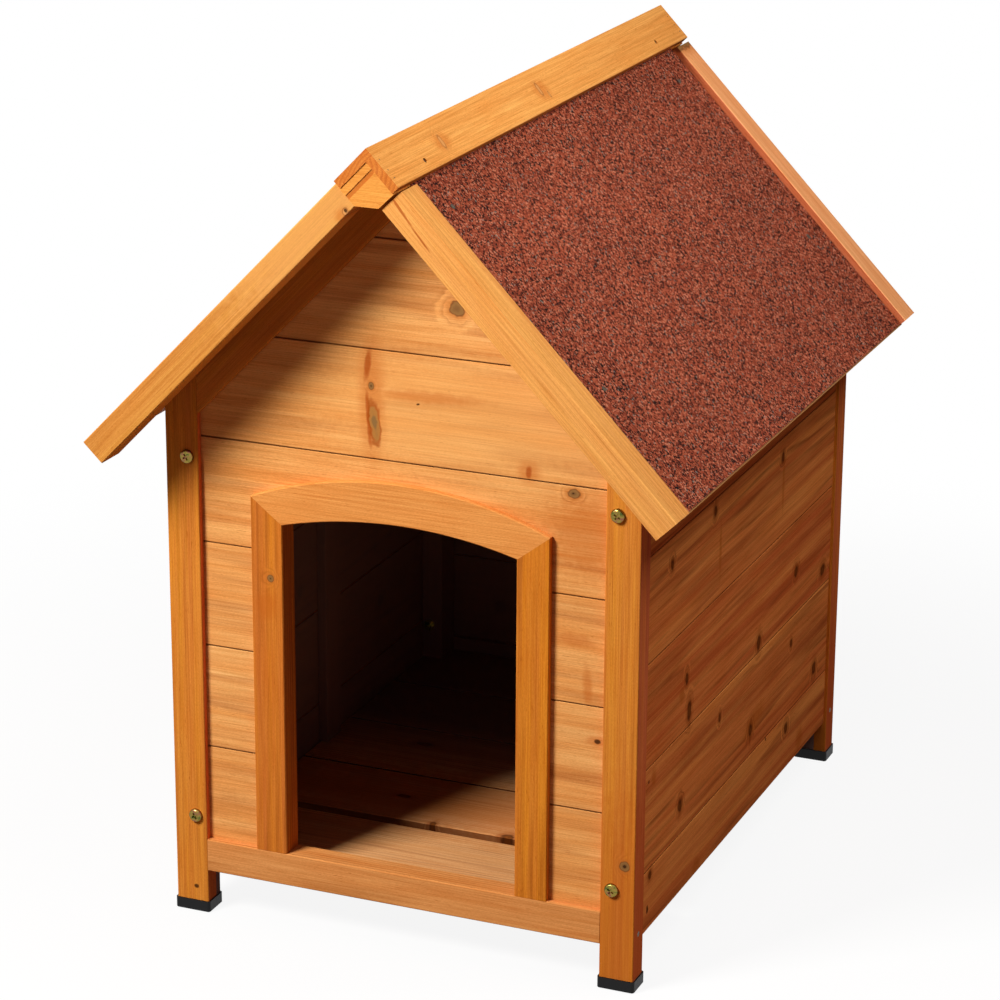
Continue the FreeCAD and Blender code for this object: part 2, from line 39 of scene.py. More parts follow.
# %% Two small conversions
MM = 0.001


def linear(hex_colour):
    """An sRGB hex colour as linear red, green, blue and alpha."""
    channels = [int(hex_colour[i:i + 2], 16) / 255 for i in (1, 3, 5)]
    turned = [c / 12.92 if c <= 0.04045 else ((c + 0.055) / 1.055) ** 2.4 for c in channels]
    return (*turned, 1.0)


print("mid grey in linear light:", round(linear("#808080")[0], 3))

# %% [markdown]
# ## Nodes
#
# Every material below is a small graph. One function adds a node, sets it up and joins it, so that a material
# reads as a list of steps. Sockets that are given a number or a colour keep it, and sockets that are given
# another node's output are linked to it.

# %% Adding a node


def add(tree, kind, inputs=None, out=0, **settings):
    """Add a node. Its inputs are values or sockets. Returns one output, or the node itself for None."""
    made = tree.nodes.new(kind)
    for name, value in settings.items():
        setattr(made, name, value)
    for socket, value in (inputs or {}).items():
        if isinstance(value, bpy.types.NodeSocket):
            tree.links.new(value, made.inputs[socket])
        else:
            made.inputs[socket].default_value = value
    return made if out is None or not made.outputs else made.outputs[out]


def new_material(name):
    """An empty material with its output, ready for nodes."""
    material = bpy.data.materials.new(name)
    material.use_nodes = True
    material.node_tree.nodes.clear()
    return material


# %% [markdown]
# ## Which way the grain runs
#
# Stained softwood is mostly a matter of grain, and grain runs along each piece. A board on the front runs
# left to right, a post runs up, a barge board runs down the roof. So each kind of timber has three
# directions: along its grain, across its face and through its thickness. Three dot products give a point's
# place in the timber, in millimetres. That costs little, and works for the slopes as well as for the upright
# walls.

# %% Directions of the timber
ROOF_PITCH = math.radians(46)
ROOF_APEX = 931.04                     # mm, where the tops of the barge boards would meet
DOWN, OUT = math.cos(ROOF_PITCH), math.sin(ROOF_PITCH)

GRAINS = {
    # name: along the grain, across the face, through the thickness
    "left to right": ((1, 0, 0), (0, 0, 1), (0, 1, 0)),
    "front to back": ((0, 1, 0), (0, 0, 1), (1, 0, 0)),
    "upright": ((0, 0, 1), (1, 0, 0), (0, 1, 0)),
    "lying": ((1, 0, 0), (0, 1, 0), (0, 0, 1)),
    "down the right slope": ((DOWN, 0, -OUT), (OUT, 0, DOWN), (0, 1, 0)),
    "down the left slope": ((-DOWN, 0, -OUT), (-OUT, 0, DOWN), (0, 1, 0)),
    "ridge, right": ((0, 1, 0), (DOWN, 0, -OUT), (OUT, 0, DOWN)),
    "ridge, left": ((0, 1, 0), (-DOWN, 0, -OUT), (-OUT, 0, DOWN)),
}


def timber_place(tree, grain):
    """A point's place in the timber, in mm: as one vector, then its three parts."""
    point = add(tree, "ShaderNodeTexCoord", out=3)
    if "slope" in grain or "ridge" in grain:
        to_apex = (0, 0, -ROOF_APEX * MM)
        point = add(tree, "ShaderNodeVectorMath", {0: point, 1: to_apex}, operation="ADD")
    parts = []
    for direction in GRAINS[grain]:
        in_mm = [component / MM for component in direction]
        parts.append(add(tree, "ShaderNodeVectorMath", {0: point, 1: in_mm}, 1, operation="DOT_PRODUCT"))
    whole = add(tree, "ShaderNodeCombineXYZ", {0: parts[0], 1: parts[1], 2: parts[2]})
    return whole, parts


print("grain directions:", len(GRAINS))

# %% [markdown]
# ## Knots, streaks and stains
#
# A knot is where a branch grew: a dark oval, a ring of redder wood round it, and grain that flows past. A
# streak is a branch cut along its length, and a speck is the tip of one. Stain gathers too, in soft patches
# and in rusty lines, and leaves other places pale. Each is drawn by its distance from a named place, in
# millimetres on the timber, wobbled by noise so that no edge is a perfect oval. A Mapping node set to Texture
# moves, turns and shrinks space so that the mark becomes a circle of radius 1. Marks of one kind share their
# nearest distance, so a wall with fifteen knots costs little more than a wall with one.

# %% Marks in the wood
MARK_KINDS = {
    # layers of colour, from the widest: colour, reach as a share of the size, strength, softness
    "pale": (("#f4b468", 1.0, 0.4, 0.5),),
    "stain": (("#c2611b", 1.0, 0.48, 0.6),),
    "rust": (("#a8470f", 1.0, 0.75, 0.45),),
    "knot": (("#bd6b2b", 1.45, 0.55, 0.35), ("#6b4426", 1.0, 0.8, 0.12), ("#98703f", 0.80, 0.8, 0.12),
             ("#7d5530", 0.45, 0.6, 0.4), ("#3f2514", 0.16, 0.9, 0.6)),
    "pale knot": (("#c98a4c", 1.3, 0.5, 0.3), ("#a4602c", 1.0, 0.75, 0.12), ("#dc9c5a", 0.72, 0.8, 0.15)),
    "dark knot": (("#a04e1a", 1.8, 0.5, 0.45), ("#4a220e", 1.0, 0.78, 0.28), ("#8a4a1c", 0.50, 0.75, 0.3)),
    "stripe": (("#bd6526", 1.0, 0.8, 0.1),),
    "streak": (("#a04a14", 1.12, 0.75, 0.15), ("#b07a3c", 0.82, 0.85, 0.15), ("#77603c", 0.35, 0.65, 0.5)),
    "speck": (("#3d2010", 1.0, 0.9, 0.35),),
}
RING_PUSHERS = ("knot", "pale knot", "dark knot")
THROUGH_MM = 1e6                       # marks go right through their timber


def nearest_mark(tree, place, marks, wobble):
    """Distance to the nearest of some marks, as a share of its size: 1 at its edge."""
    nearest = None
    for along, across, half_length, half_width, turn in marks:
        angle = (0, 0, math.radians(turn))
        size = (half_length, half_width, THROUGH_MM)
        moved = {0: place, 1: (along, across, 0), 2: angle, 3: size}
        circle = add(tree, "ShaderNodeMapping", moved, vector_type="TEXTURE")
        away = add(tree, "ShaderNodeVectorMath", {0: circle}, 1, operation="LENGTH")
        if nearest is None:
            nearest = away
        else:
            nearest = add(tree, "ShaderNodeMath", {0: nearest, 1: away}, operation="MINIMUM")
    return add(tree, "ShaderNodeMath", {0: nearest, 1: wobble}, operation="ADD")


def shade_marks(tree, colour, away, layers):
    """Lay the colours of one kind of mark over the wood."""
    for tone, reach, strength, soft in layers:
        cover = add(
            tree, "ShaderNodeMapRange",
            {0: away, 1: reach * (1 - soft), 2: reach * (1 + soft), 3: strength, 4: 0.0},
            interpolation_type="SMOOTHSTEP",
        )
        colour = add(tree, "ShaderNodeMix", {0: cover, 6: colour, 7: linear(tone)}, 2, data_type="RGBA")
    return colour


print("kinds of marks:", ", ".join(MARK_KINDS))

# %% [markdown]
# ## Stained softwood
#
# The kennel is planed spruce or fir under a thin honey-coloured stain. Close up there are four things on top
# of each other: bands along the grain, some yellower and some rosier; growth rings, which show as fine darker
# lines where the late wood took more stain; patches where the stain soaked in unevenly; and fibres, much
# longer than wide. The rings are circles round the middle of a log that lies behind the board, so a face
# shows nearly straight lines and an end shows arcs.
#
# The rings could be painted as stripes, but then the ends of the boards would show stripes too. Circles in
# the solid wood cost the same and turn the corners of each piece properly.

# %% Sizes in the wood
RING_MM = 4.6                          # one year's growth in fast-grown spruce
FIBRE_MM = 1.1                         # real fibres are finer: drawn this coarse so that they show
NAP_MM = 0.9                           # fibres raised by the stain, as coarse for the same reason
FLECK_MM = 1.3                         # short dark pores, as coarse again
BAND_MM = 15.0                         # a few years' growth of one tone
PATCH_MM = 30.0                        # width of a patch of uneven stain
SEED_STEPS = (3.7, 5.1, 7.9)           # take each seed to a part of the noise of its own


def noise_at(tree, place, sizes, seed, detail=2.0, rough=0.5):
    """Noise whose lumps have the given sizes along, across and through the timber, in mm; 0 to 1."""
    shares = [1 / size for size in sizes]
    if isinstance(seed, bpy.types.NodeSocket):
        start = add(tree, "ShaderNodeVectorMath", {0: SEED_STEPS, "Scale": seed}, operation="SCALE")
    else:
        start = [seed * step for step in SEED_STEPS]
    at = add(tree, "ShaderNodeVectorMath", {0: place, 1: shares, 2: start}, operation="MULTIPLY_ADD")
    return add(tree, "ShaderNodeTexNoise", {"Vector": at, "Scale": 1.0, "Detail": detail, "Roughness": rough})


print("sizes of noise in the wood, in mm:", RING_MM, FIBRE_MM, NAP_MM, FLECK_MM, BAND_MM, PATCH_MM)

# %% [markdown]
# ### One board of many
#
# Every piece, and every row of a boarded wall, was sawn from another part of another log. Each gets a number
# of its own, from the piece and from the row, and three chances are drawn with it: where the log's middle
# lay, to the side and in depth, and how rosy the wood is.

# %% Which board of the log
PIECE_STEP = 61.0                      # takes each piece well away from the next
ROW_STEP = 7.31                        # and each row of boards within it


def own_timber(tree, across, rows, seed):
    """A number for each board, three chances drawn from it, and the place across that board."""
    piece = add(tree, "ShaderNodeObjectInfo", out=5)
    number = add(tree, "ShaderNodeMath", {0: piece, 1: PIECE_STEP, 2: seed}, operation="MULTIPLY_ADD")
    if rows:
        first, cover = rows
        row = add(tree, "ShaderNodeMath", {0: across, 1: first}, operation="SUBTRACT")
        row = add(tree, "ShaderNodeMath", {0: row, 1: cover}, operation="DIVIDE")
        index = add(tree, "ShaderNodeMath", {0: row}, operation="FLOOR")
        number = add(tree, "ShaderNodeMath", {0: index, 1: ROW_STEP, 2: number}, operation="MULTIPLY_ADD")
        within = add(tree, "ShaderNodeMath", {0: row, 1: index}, operation="SUBTRACT")
        across = add(tree, "ShaderNodeMath", {0: within, 1: cover, 2: -cover / 2}, operation="MULTIPLY_ADD")
    chance = add(tree, "ShaderNodeTexWhiteNoise", {"W": number}, 1, noise_dimensions="1D")
    draw = add(tree, "ShaderNodeSeparateXYZ", {0: chance}, None)
    return number, draw.outputs, across


# %% Growth rings
SIDE_DRIFT, DEPTH_DRIFT = 60.0, 26.0   # mm, how far apart the middles of two logs may lie
SWAY_LUMPS, SWAY_MM = (600, 60, 60), 18.0        # the rings' slow wander: its size, and how far it goes
SHIVER_LUMPS, SHIVER_MM = (160, 8, 8), 2.6       # and their quick one
KNOT_PUSH = 1.6 * RING_MM              # how far a knot pushes the rings aside
KNOT_REACH = (0.7, 3.4)                # in sizes of the knot: where the push is full, and where it ends
LATE_START, LATE_FULL = 0.30, 0.82     # shares of the year: spring wood ends, late wood is darkest


def growth_rings(tree, place, across, through, number, draw, heart, knots):
    """Late wood: 0 in the pale spring wood, 1 at the dark end of each year."""
    sway = noise_at(tree, place, SWAY_LUMPS, number, 1.0)
    shiver = noise_at(tree, place, SHIVER_LUMPS, number)
    least_side = heart[0] - SIDE_DRIFT / 2
    side = add(tree, "ShaderNodeMath", {0: draw[0], 1: SIDE_DRIFT, 2: least_side}, operation="MULTIPLY_ADD")
    depth = add(tree, "ShaderNodeMath", {0: draw[1], 1: DEPTH_DRIFT, 2: heart[1]}, operation="MULTIPLY_ADD")
    sideways = add(tree, "ShaderNodeMath", {0: across, 1: side}, operation="SUBTRACT")
    inwards = add(tree, "ShaderNodeMath", {0: through, 1: depth}, operation="SUBTRACT")
    cut = add(tree, "ShaderNodeCombineXYZ", {0: sideways, 1: inwards})
    radius = add(tree, "ShaderNodeVectorMath", {0: cut}, 1, operation="LENGTH")
    radius = add(tree, "ShaderNodeMath", {0: sway, 1: SWAY_MM, 2: radius}, operation="MULTIPLY_ADD")
    radius = add(tree, "ShaderNodeMath", {0: shiver, 1: SHIVER_MM, 2: radius}, operation="MULTIPLY_ADD")
    for away in knots:
        push = add(
            tree, "ShaderNodeMapRange", {0: away, 1: KNOT_REACH[0], 2: KNOT_REACH[1], 3: KNOT_PUSH, 4: 0.0},
            interpolation_type="SMOOTHERSTEP",
        )
        radius = add(tree, "ShaderNodeMath", {0: radius, 1: push}, operation="ADD")
    year = add(tree, "ShaderNodeMath", {0: radius, 1: RING_MM}, operation="DIVIDE")
    season = add(tree, "ShaderNodeMath", {0: year}, operation="FRACT")
    late = add(tree, "ShaderNodeValToRGB", {0: season})
    ramp = late.node.color_ramp
    ramp.elements[0].position = LATE_START
    ramp.elements[1].position = LATE_FULL
    ramp.elements.new(1.0).color = (0, 0, 0, 1)
    return late


# %% Bands, patches and fibres
TONE_DRIFT = 0.28                      # how much yellower or rosier than usual one board may be
SHOWN_LUMPS = (200, 22, 22)            # mm, places where the rings show more or less
FLECK_LUMPS = (11, FLECK_MM, FLECK_MM)
ROSY_TINT = (0.98, 0.86, 0.74)         # what a patch with more stain takes from the light


def wood_tones(tree, place, number, draw, late, tones, rings):
    """The colour of the stained wood without its marks, its lines of late wood, and its fibres."""
    yellower, rosier, late_tone = [linear(tone) for tone in tones]
    band = noise_at(tree, place, (BAND_MM * 50, BAND_MM, BAND_MM), number, 3.0, 0.6)
    band = add(tree, "ShaderNodeMapRange", {0: band, 1: 0.34, 2: 0.66, 3: 0.0, 4: 1.0})
    own_tone = add(tree, "ShaderNodeMapRange", {0: draw[2], 1: 0.0, 2: 1.0, 3: -TONE_DRIFT, 4: TONE_DRIFT})
    band = add(tree, "ShaderNodeMath", {0: band, 1: own_tone}, operation="ADD", use_clamp=True)
    patch = noise_at(tree, place, (PATCH_MM * 3.5, PATCH_MM, PATCH_MM), number, 3.0, 0.55)
    patch = add(tree, "ShaderNodeMapRange", {0: patch, 1: 0.45, 2: 0.72, 3: 0.0, 4: 0.6})
    shown = noise_at(tree, place, SHOWN_LUMPS, number)
    shown = add(tree, "ShaderNodeMapRange", {0: shown, 1: 0.38, 2: 0.66, 3: 0.15 * rings, 4: 1.2 * rings})
    line = add(tree, "ShaderNodeMath", {0: late, 1: shown}, operation="MULTIPLY")
    fibre = noise_at(tree, place, (FIBRE_MM * 70, FIBRE_MM, FIBRE_MM), number, 3.0, 0.6)
    nap = noise_at(tree, place, (NAP_MM * 3, NAP_MM, NAP_MM), number, 1.0)
    fleck = noise_at(tree, place, FLECK_LUMPS, number, 1.0)

    colour = add(tree, "ShaderNodeMix", {0: band, 6: yellower, 7: rosier}, 2, data_type="RGBA")
    rosy = add(tree, "ShaderNodeVectorMath", {0: colour, 1: ROSY_TINT}, operation="MULTIPLY")
    colour = add(tree, "ShaderNodeMix", {0: patch, 6: colour, 7: rosy}, 2, data_type="RGBA")
    colour = add(tree, "ShaderNodeMix", {0: line, 6: colour, 7: late_tone}, 2, data_type="RGBA")
    # Dark fibres are also redder, and light ones yellower: the stain is thicker in some than in others.
    for lumps, low, high, thick, thin in (
        (fibre, 0.32, 0.68, (0.87, 0.78, 0.68, 1), (1.11, 1.19, 1.27, 1)),
        (nap, 0.3, 0.7, (0.94, 0.92, 0.89, 1), (1.06, 1.08, 1.11, 1)),
        (fleck, 0.80, 0.68, (0.76, 0.62, 0.50, 1), (1, 1, 1, 1)),
    ):
        share = add(tree, "ShaderNodeMapRange", {0: lumps, 1: low, 2: high, 3: 0.0, 4: 1.0})
        tint = add(tree, "ShaderNodeMix", {0: share, 6: thick, 7: thin}, 2, data_type="RGBA")
        colour = add(tree, "ShaderNodeVectorMath", {0: colour, 1: tint}, operation="MULTIPLY")
    return colour, line, fibre


# %% [markdown]
# ### Where the stain differs, and where shade is painted
#
# Cut ends and sawn edges drink more stain than a planed face, and turn darker. Where two matchboards meet
# there is a thin dark line. Inside the cabin the wood is painted with shade: greyed and dulled, except the
# front part of the floor, where light falls in through the door. The side faces of the posts and the front
# and back of the far right barge board carry painted light and shade too. The graph tells these apart by
# the way that a face looks and by the place of the point, so that one board can be stained outside and
# painted with shade inside.

# %% Joints
JOINT_MM = 0.9                         # a joint's dark line, on each of its two boards
JOINT_TONE, JOINT_STRENGTH = "#5c2c10", 0.75


def darken_joints(tree, colour, across, cover):
    """A dark line along both edges of each matchboard."""
    from_middle = add(tree, "ShaderNodeMath", {0: across}, operation="ABSOLUTE")
    start, full = cover / 2 - 1.6 * JOINT_MM, cover / 2 - 0.6 * JOINT_MM
    joint = add(tree, "ShaderNodeMapRange", {0: from_middle, 1: start, 2: full, 3: 0.0, 4: JOINT_STRENGTH})
    return add(tree, "ShaderNodeMix", {0: joint, 6: colour, 7: linear(JOINT_TONE)}, 2, data_type="RGBA")


# %% Cut ends and narrow faces
END_TINT, END_STRENGTH = (0.80, 0.50, 0.30), 0.75
END_RING_TONE, END_RINGS = "#b4501a", 0.6


def faces_along(tree, direction, low, high, strength):
    """The strength for faces that look along a direction, either way, and 0 for the others."""
    facing = add(tree, "ShaderNodeNewGeometry", out=1)
    share = add(tree, "ShaderNodeVectorMath", {0: facing, 1: direction}, 1, operation="DOT_PRODUCT")
    share = add(tree, "ShaderNodeMath", {0: share}, operation="ABSOLUTE")
    return add(tree, "ShaderNodeMapRange", {0: share, 1: low, 2: high, 3: 0.0, 4: strength})


def soak_ends(tree, colour, late, direction):
    """Darken the cut ends, and draw their arcs of late wood."""
    end = faces_along(tree, direction, 0.9, 0.98, END_STRENGTH)
    arcs = add(tree, "ShaderNodeMath", {0: late, 1: END_RINGS}, operation="MULTIPLY")
    tinted = add(tree, "ShaderNodeMix", {0: arcs, 6: colour, 7: linear(END_RING_TONE)}, 2, data_type="RGBA")
    tinted = add(tree, "ShaderNodeVectorMath", {0: tinted, 1: END_TINT}, operation="MULTIPLY")
    return add(tree, "ShaderNodeMix", {0: end, 6: colour, 7: tinted}, 2, data_type="RGBA")


def tint_edges(tree, colour, direction, tint):
    """Tint the narrow faces of a timber: painted light and shade on the posts and the far right barge board.
    """
    edge = faces_along(tree, direction, 0.8, 0.95, 1.0)
    tinted = add(tree, "ShaderNodeVectorMath", {0: colour, 1: tint}, operation="MULTIPLY")
    return add(tree, "ShaderNodeMix", {0: edge, 6: colour, 7: tinted}, 2, data_type="RGBA")


# %% Painted shade inside the cabin
CABIN_X, CABIN_Y = 0.2646, 0.3476      # m, half the room inside, just past the faces of the walls
CABIN_MIDDLE = (0, 0.002, 0)           # m, the room's middle, beside the middle of the whole kennel
INSIDE_SHADE_TONE = "#84736f"                  # painted shade: a dull grey-brown for the wood inside the cabin
INSIDE_SHADE_M, INSIDE_SHADE = 0.15, 0.92        # the way over which the painted shade comes in, and its full strength


def paint_inner_shade(tree, colour, start):
    """Paint shade inside the cabin: grey the wood from a place in m front to back and on towards the rear."""
    point = add(tree, "ShaderNodeTexCoord", out=3)
    depth = add(tree, "ShaderNodeVectorMath", {0: point, 1: (0, 1, 0)}, 1, operation="DOT_PRODUCT")
    behind = add(tree, "ShaderNodeMapRange", {0: depth, 1: start, 2: start + INSIDE_SHADE_M, 3: 0.0, 4: INSIDE_SHADE})
    point = add(tree, "ShaderNodeVectorMath", {0: point, 1: CABIN_MIDDLE}, operation="SUBTRACT")
    point = add(tree, "ShaderNodeVectorMath", {0: point}, operation="ABSOLUTE")
    point = add(tree, "ShaderNodeSeparateXYZ", {0: point}, None)
    in_x = add(tree, "ShaderNodeMath", {0: point.outputs[0], 1: CABIN_X}, operation="LESS_THAN")
    in_y = add(tree, "ShaderNodeMath", {0: point.outputs[1], 1: CABIN_Y}, operation="LESS_THAN")
    inside = add(tree, "ShaderNodeMath", {0: in_x, 1: in_y}, operation="MULTIPLY")
    inside = add(tree, "ShaderNodeMath", {0: inside, 1: behind}, operation="MULTIPLY")
    return add(tree, "ShaderNodeMix", {0: inside, 6: colour, 7: linear(INSIDE_SHADE_TONE)}, 2, data_type="RGBA")


# %% The wood itself
WOBBLE_LUMPS, WOBBLE = (8, 8, 8), 0.2  # mm, and the share of a mark's size by which its edge wanders


def stained_softwood(
    name, grain, tones, rows=None, heart=(10.0, 60.0), rings=0.5, marks=(), seed=0.0, shade_inside=-1.0, edges=None,
):
    """Planed softwood under a thin stain.

    tones are the yellower, the rosier and the late-wood colour. rows is (first joint, cover) of matchboards,
    in mm. heart is how far the log's middle lies across and behind the face. rings is how strongly late wood
    shows. shade_inside is the place, in m front to back, from which the wood inside the cabin is painted with
    shade, or None where it isn't. edges is (1 for across or 2 for through, tint) for narrow faces: the tint
    is painted light and shade on the posts and the far right barge board, and darkens the floor slats' front
    and back faces.
    """
    material = new_material(name)
    tree = material.node_tree
    place, (_, across, through) = timber_place(tree, grain)
    number, draw, across = own_timber(tree, across, rows, seed)

    # Marks come first, because knots push the rings aside.
    lumps = noise_at(tree, place, WOBBLE_LUMPS, seed + 3.0, 1.0)
    wobble = add(tree, "ShaderNodeMapRange", {0: lumps, 1: 0.25, 2: 0.75, 3: -WOBBLE, 4: WOBBLE})
    kinds = {kind: [mark[1:] for mark in marks if mark[0] == kind] for kind in MARK_KINDS}
    away = {kind: nearest_mark(tree, place, found, wobble) for kind, found in kinds.items() if found}
    knots = [away[kind] for kind in RING_PUSHERS if kind in away]

    late = growth_rings(tree, place, across, through, number, draw, heart, knots)
    colour, line, fibre = wood_tones(tree, place, number, draw, late, tones, rings)
    for kind, distance in away.items():
        colour = shade_marks(tree, colour, distance, MARK_KINDS[kind])
    if rows:
        colour = darken_joints(tree, colour, across, rows[1])
    colour = soak_ends(tree, colour, late, GRAINS[grain][0])
    # narrow faces tinted: painted light and shade on the posts and the far right barge board
    if edges:
        side, tint = edges
        colour = tint_edges(tree, colour, GRAINS[grain][side], tint)
    # painted shade: the wood inside the cabin is greyed and dulled towards the rear
    if shade_inside is not None:
        colour = paint_inner_shade(tree, colour, shade_inside)

    # The stain is thin and dry: the fibres still stand up a little, and nothing on the wood shines.
    height = add(tree, "ShaderNodeMath", {0: line, 1: -0.7, 2: fibre}, operation="MULTIPLY_ADD")
    bump = add(tree, "ShaderNodeBump", {"Strength": 0.4, "Distance": 0.25 * MM, "Height": height})
    rough = add(tree, "ShaderNodeMapRange", {0: fibre, 1: 0.2, 2: 0.8, 3: 0.48, 4: 0.62})
    shader = add(
        tree, "ShaderNodeBsdfPrincipled",
        {"Base Color": colour, "Roughness": rough, "IOR": 1.48, "Specular IOR Level": 0.0, "Normal": bump},
    )
    add(tree, "ShaderNodeOutputMaterial", {0: shader})
    return material


# %% [markdown]
# ## Timbers of this kennel
#
# The matchboards of the front are the palest, almost peach. The framing has soaked up more stain. The side
# walls are the same boards, given a redder, deeper tone that is painted shade for their shaded faces. The
# rows are given by the place of their first joint and the cover of a board. Marks are given as kind, place
# along, place across, half length, half width and turn, in millimetres and degrees on the timber.

# %% Tones
BOARD_TONES = ("#f0b16a", "#e39850", "#ae6430")
FRAME_TONES = ("#df9030", "#d27e34", "#a4581e")
JAMB_TONES = ("#d98426", "#c8702e", "#9c511a")
LINTEL_TONES = ("#ea9f55", "#de8f46", "#bb6a28")
RAIL_TONES = ("#dc9453", "#cf8140", "#a0581f")
BARGE_TONES = ("#efaa58", "#e39a52", "#c67c38")
BARGE_ROSY_TONES = ("#f6b47a", "#eea066", "#cc8048")
BARGE_SHADY_TONES = ("#da9a42", "#d08a40", "#b06c2a")
RIDGE_TONES = ("#eaa455", "#e09548", "#c47e3b")
BLOCK_TONES = ("#eba04a", "#df9040", "#bd7029")
# painted shade: the side walls' boards in a redder, deeper tone, as they look in shade
SIDE_SHADE_TONES = ("#fa9e50", "#dc7038", "#9c4a22")
FLOOR_TONES = ("#e4ac74", "#d6985f", "#aa6f44")

FRONT_ROWS = (204.5, 123.0)
SIDE_ROWS = (125.0, 123.0)
FLOOR_ROWS = (-334.0, 134.8)

# %% Marks on the front and rear boards
FRONT_MARKS = (
    ("pale", 90, 634, 190, 62, 0),
    ("stain", 218, 522, 46, 44, 0),
    ("knot", 66, 751, 9, 8.5, 0),
    ("stain", -33, 640, 14, 62, 0),
    ("rust", -37, 618, 2.6, 31, 4),
    ("streak", -30, 614, 6.5, 25, 7),
    ("knot", -34, 655, 3.5, 4.5, 0),
    ("rust", -38, 678, 3.6, 17, -8),
    ("stain", 30, 650, 60, 6, 2),
    ("rust", 149, 582, 3.2, 6.5, -5),
    ("stain", 149, 582, 12, 11, 0),
    ("knot", 200, 565, 7, 5, 0),
    ("stain", 215, 540, 12, 14, 0),
    ("stain", 214, 492, 14, 8, 0),
    ("speck", 231, 287, 3.5, 2.5, 0),
    ("stain", 231, 287, 11, 6, 0),
    ("stain", 219, 350, 5, 20, 4),
    ("stain", 204, 400, 22, 7, 0),
    ("speck", 21, 641, 2.2, 1.2, 20),
)
REAR_MARKS = (
    ("dark knot", -174, 140, 8, 7, 0),
    ("knot", 120, 480, 8, 7, 0),
    ("streak", -60, 655, 6, 26, 6),
    ("dark knot", 190, 330, 7, 6, 0),
    ("stain", 60, 250, 40, 9, 0),
)

# %% Marks on the side boards, right then left
RIGHT_MARKS = (
    ("dark knot", -254, 462, 5, 6, 0),
    ("dark knot", -113, 479, 5, 7, 0),
    ("stain", -92, 426, 4, 30, 0),
    ("dark knot", 131, 470, 5, 6, 0),
    ("stain", 136, 436, 4, 30, 0),
    ("dark knot", 199, 304, 6, 7, 0),
    ("dark knot", 310, 269, 8, 8, 0),
    ("dark knot", 60, 261, 7, 9, 0),
    ("dark knot", 189, 214, 4, 5, 0),
    ("dark knot", 288, 146, 7, 8, 0),
    ("dark knot", -197, 309, 5, 7, 0),
    ("stain", -212, 294, 8, 9, 40),
    ("dark knot", -186, 266, 6, 12, 0),
    ("dark knot", -78, 217, 4, 6, 0),
    ("stain", 50, 164, 34, 14, 12),
    ("dark knot", 38, 157, 6, 8, 0),
    ("dark knot", 179, 106, 7, 7, 0),
    ("stain", 236, 71, 12, 14, 0),
    ("stain", -299, 231, 7, 10, 0),
    ("dark knot", -210, 160, 6, 8, 0),
    ("dark knot", -306, 116, 5, 5, 0),
    ("speck", -312, 77, 3, 5, 0),
    ("stain", -149, 60, 12, 10, 0),
    ("speck", 99, 122, 2, 2, 0),
    ("speck", -315, 231, 2, 2, 0),
)
LEFT_MARKS = (
    ("dark knot", -221, 402, 7, 7, 0),
    ("dark knot", 92, 452, 6, 6, 0),
    ("dark knot", 262, 342, 8, 7, 0),
    ("stain", 262, 352, 26, 12, 0),
    ("dark knot", -66, 290, 6, 7, 0),
    ("dark knot", 168, 198, 8, 8, 0),
    ("dark knot", -270, 186, 7, 6, 0),
    ("stain", -150, 120, 36, 10, 0),
    ("dark knot", 20, 96, 6, 7, 0),
)
print("marks on the walls:", len(FRONT_MARKS + REAR_MARKS + RIGHT_MARKS + LEFT_MARKS))

# %% Boards
boards_front = stained_softwood(
    "Stained spruce matchboard, front", "left to right", BOARD_TONES, FRONT_ROWS, rings=0.5, seed=2.0,
    marks=FRONT_MARKS,
)
boards_rear = stained_softwood(
    "Stained spruce matchboard, rear", "left to right", BOARD_TONES, FRONT_ROWS, rings=0.55, seed=11.0,
    marks=REAR_MARKS,
)
# The side walls carry painted shade in their tones.
boards_right = stained_softwood(
    "Stained spruce matchboard, right", "front to back", SIDE_SHADE_TONES, SIDE_ROWS, rings=0.6, seed=5.0,
    marks=RIGHT_MARKS,
)
boards_left = stained_softwood(
    "Stained spruce matchboard, left", "front to back", SIDE_SHADE_TONES, SIDE_ROWS, rings=0.7, seed=23.0,
    marks=LEFT_MARKS,
)
# Inside the cabin the floor is painted with shade behind its front part. Its slats' front and back faces are
# darkened to a deep brown.
floor_timber = stained_softwood(
    "Planed spruce floor slat", "lying", FLOOR_TONES, FLOOR_ROWS, rings=0.6, seed=17.0, shade_inside=-0.05,
    edges=(1, (0.4, 0.32, 0.28)),
    marks=(
        ("stain", 0, -130, 400, 72, 0),
        ("dark knot", -141, 25, 10, 5, 0),
        ("dark knot", -99, -130, 9, 4, 0),
        ("dark knot", 60, -191, 8, 7, 0),
        ("dark knot", -35, -191, 4, 7, 0),
    ),
)

# %% Framing
# The posts' side faces, and those of the battens that share this wood, carry painted light: a tint that makes
# them redder and bluer and less green, as their shaded sides look.
posts = stained_softwood(
    "Stained spruce post", "upright", FRAME_TONES, heart=(30.0, 60.0), rings=0.4, seed=7.0,
    edges=(1, (1.15, 0.82, 1.9)),
    marks=(("knot", 150, 268, 6, 6, 0), ("speck", 30, -255, 2.5, 3, 0), ("stain", 60, 262, 170, 60, 0)),
)
jambs = stained_softwood(
    "Stained spruce door jamb", "upright", JAMB_TONES, heart=(40.0, 50.0), rings=0.5, seed=3.0, shade_inside=None,
    marks=(("knot", 421, -154, 4.5, 4.5, 0), ("stain", 388, -160, 16, 12, 20)),
)
lintel = stained_softwood(
    "Stained spruce door lintel", "left to right", LINTEL_TONES, heart=(10.0, 80.0), rings=0.35, seed=4.0,
    shade_inside=None,
)
rails = stained_softwood(
    "Stained spruce rail", "left to right", RAIL_TONES, heart=(30.0, 60.0), rings=0.6, seed=9.0, shade_inside=0.0,
)
